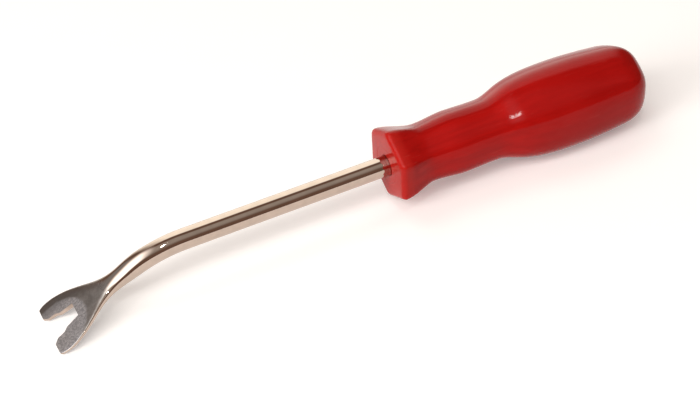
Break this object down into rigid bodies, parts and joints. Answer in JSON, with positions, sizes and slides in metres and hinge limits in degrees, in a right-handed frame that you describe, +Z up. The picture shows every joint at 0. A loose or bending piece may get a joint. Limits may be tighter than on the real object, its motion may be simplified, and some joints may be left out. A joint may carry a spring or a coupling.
{
  "type": "trim removal tool",
  "caption": "Trim removal tool: a bent steel shank ends in a flared, notched fork for prying out panel clips, with a six-sided moulded handle swelling towards a rounded butt.",
  "frame": {"origin": "middle of the tool's length and width, on the surface it lies on", "axes": "+X along the tool from the fork tips to the butt, +Y across the fork, +Z up from the surface it lies on"},
  "size_m": [0.2483, 0.0348, 0.0357],
  "materials": {
    "red_plastic": "smooth, glossy moulded plastic",
    "plated_steel": "bright nickel plating, duller on the fork's forged faces"
  },
  "bodies": {
    "root": {"handle": "red_plastic", "shank": "plated_steel"}
  },
  "joints": []
}
